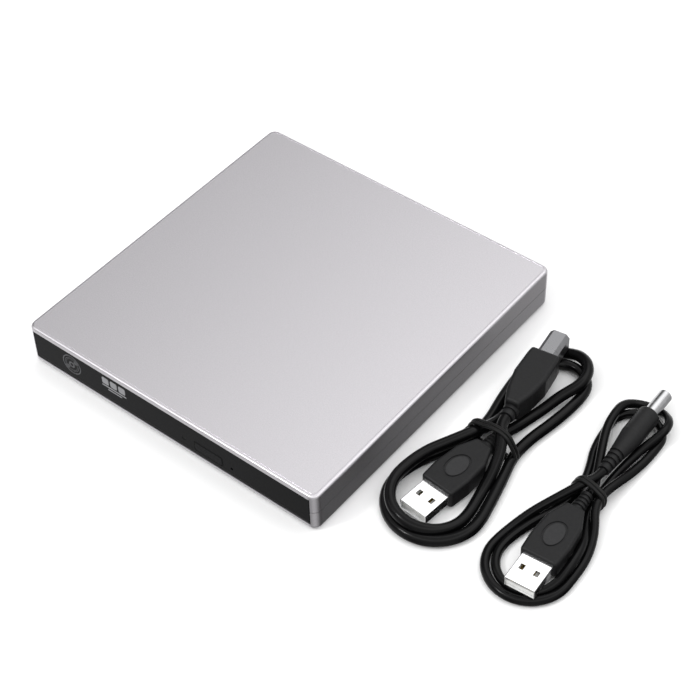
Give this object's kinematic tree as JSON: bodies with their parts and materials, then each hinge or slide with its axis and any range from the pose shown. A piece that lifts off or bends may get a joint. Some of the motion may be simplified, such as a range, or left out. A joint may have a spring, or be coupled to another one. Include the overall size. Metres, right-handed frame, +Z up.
{
  "type": "external optical drive",
  "caption": "Slim tray-loading external optical drive in a flat silver case, with its USB data lead and power lead tied beside it.",
  "frame": {"origin": "middle of the drive's footprint, on the surface its feet stand on; the two leads are not counted", "axes": "+X to the right as seen from the front, the front panel faces -Y, +Z up"},
  "size_m": [0.2281, 0.147, 0.0185],
  "materials": {
    "case_silver": "satin silver paint on moulded plastic",
    "panel_black": "glossy black",
    "button_black": "glossy black",
    "light_pipe": "clear light guide",
    "sheet_steel": "zinc-plated sheet",
    "bright_steel": "bright ground steel",
    "screw_steel": "zinc-plated",
    "tray_plastic": "fine-textured black",
    "frame_plastic": "moulded black",
    "guide_plastic": "natural acetal",
    "circuit_board": "solder mask",
    "chip_black": "matte epoxy",
    "socket_plastic": "white insulator",
    "connector_black": "matte",
    "plug_metal": "nickel plate",
    "lead_black": "flexible black jacket",
    "rubber_grey": "soft",
    "ring_rubber": "soft",
    "ribbon": "laminated ribbon",
    "magnet": "nickel-plated magnet",
    "lens_clear": "coated lens",
    "motor_metal": "plated steel",
    "hub_white": "moulded acetal",
    "tie_black": "plastic-covered wire"
  },
  "bodies": {
    "case": {"bottom_shell": "case_silver", "top_shell": "case_silver", "case_screws": "screw_steel", "rubber_feet": "rubber_grey", "drive_chassis": "sheet_steel", "drive_cover": "sheet_steel", "cover_screws": "screw_steel", "right_rail_guide": "guide_plastic", "left_rail_guide": "guide_plastic", "connector_board": "circuit_board", "drive_connector": "connector_black", "flex_cable": "ribbon", "bridge_board": "circuit_board", "bridge_chips": "chip_black", "bridge_connector": "connector_black", "usb_b_socket_shell": "plug_metal", "usb_b_socket_insulator": "socket_plastic", "dc_jack_body": "connector_black", "dc_jack_pin": "plug_metal", "data_lead_hank": "lead_black", "power_lead_hank": "lead_black", "lead_ties": "tie_black", "plug_inserts": "socket_plastic", "data_usb_a_shell": "plug_metal", "data_usb_a_grip": "lead_black", "data_usb_b_shell": "plug_metal", "data_usb_b_grip": "lead_black", "power_usb_a_shell": "plug_metal", "power_usb_a_grip": "lead_black", "power_dc_barrel": "plug_metal", "power_dc_grip": "lead_black"},
    "tray": {"tray": "tray_plastic", "tray_bezel": "panel_black", "led_light_pipe": "light_pipe", "tray_under_plate": "sheet_steel", "tray_screws": "screw_steel", "drive_board": "circuit_board", "drive_board_chips": "chip_black", "eject_switch": "connector_black", "latch_solenoid": "motor_metal", "guide_rods": "bright_steel", "traverse_frame": "frame_plastic", "traverse_cover": "sheet_steel", "traverse_dampers": "rubber_grey", "stepper_motor": "motor_metal", "spindle_motor_base": "motor_metal"},
    "left_rail": {"left_rail": "bright_steel"},
    "right_rail": {"right_rail": "bright_steel"},
    "spindle": {"turntable": "tray_plastic", "turntable_ring": "ring_rubber"},
    "claw_1": {"hub_claw_1": "hub_white"},
    "claw_2": {"hub_claw_2": "hub_white"},
    "claw_3": {"hub_claw_3": "hub_white"},
    "sled": {"sled": "frame_plastic", "actuator_magnets": "magnet"},
    "lens": {"lens_holder": "frame_plastic", "objective_lens": "lens_clear"},
    "lead_screw": {"lead_screw": "bright_steel"},
    "eject_button": {"eject_button": "button_black"},
    "latch_hook": {"latch_hook": "frame_plastic"}
  },
  "joints": [
    {"name": "tray_slide", "type": "slide", "parent": "case", "child": "tray", "axis": [0, -1, 0], "range_m": [0, 0.125]},
    {"name": "left_rail_slide", "type": "slide", "parent": "case", "child": "left_rail", "axis": [0, -1, 0], "range_m": [0, 0.0625]},
    {"name": "right_rail_slide", "type": "slide", "parent": "case", "child": "right_rail", "axis": [0, -1, 0], "range_m": [0, 0.0625]},
    {"name": "spindle_spin", "type": "hinge", "parent": "tray", "child": "spindle", "pos_m": [0, -0.007, 0.011], "axis": [0, 0, 1], "continuous": true},
    {"name": "sled_slide", "type": "slide", "parent": "tray", "child": "sled", "axis": [0, -1, 0], "range_m": [0, 0.032]},
    {"name": "lead_screw_spin", "type": "hinge", "parent": "tray", "child": "lead_screw", "pos_m": [-0.0215, -0.03, 0.0082], "axis": [0, 1, 0], "continuous": true},
    {"name": "lens_focus", "type": "slide", "parent": "sled", "child": "lens", "axis": [0, 0, 1], "range_m": [-0.0004, 0.0004], "stiffness_N_per_m": 40},
    {"name": "eject_button_press", "type": "slide", "parent": "tray", "child": "eject_button", "axis": [0, 1, 0], "range_m": [0, 0.0006], "stiffness_N_per_m": 400},
    {"name": "latch_hook_turn", "type": "hinge", "parent": "tray", "child": "latch_hook", "pos_m": [0.043, -0.063, 0.0062], "axis": [0, 0, 1], "range_deg": [-24, 0], "stiffness_Nm_per_rad": 0.0002},
    {"name": "claw_1_press", "type": "slide", "parent": "spindle", "child": "claw_1", "axis": [0, -1, 0], "range_m": [0, 0.0005], "stiffness_N_per_m": 200},
    {"name": "claw_2_press", "type": "slide", "parent": "spindle", "child": "claw_2", "axis": [0.866, 0.5, 0], "range_m": [0, 0.0005], "stiffness_N_per_m": 200},
    {"name": "claw_3_press", "type": "slide", "parent": "spindle", "child": "claw_3", "axis": [-0.866, 0.5, 0], "range_m": [0, 0.0005], "stiffness_N_per_m": 200}
  ],
  "couplings": [
    {"joint": "left_rail_slide", "follows": "tray_slide", "ratio": 0.5},
    {"joint": "right_rail_slide", "follows": "tray_slide", "ratio": 0.5},
    {"joint": "lead_screw_spin", "follows": "sled_slide", "rad_per_m": 2094.4}
  ]
}
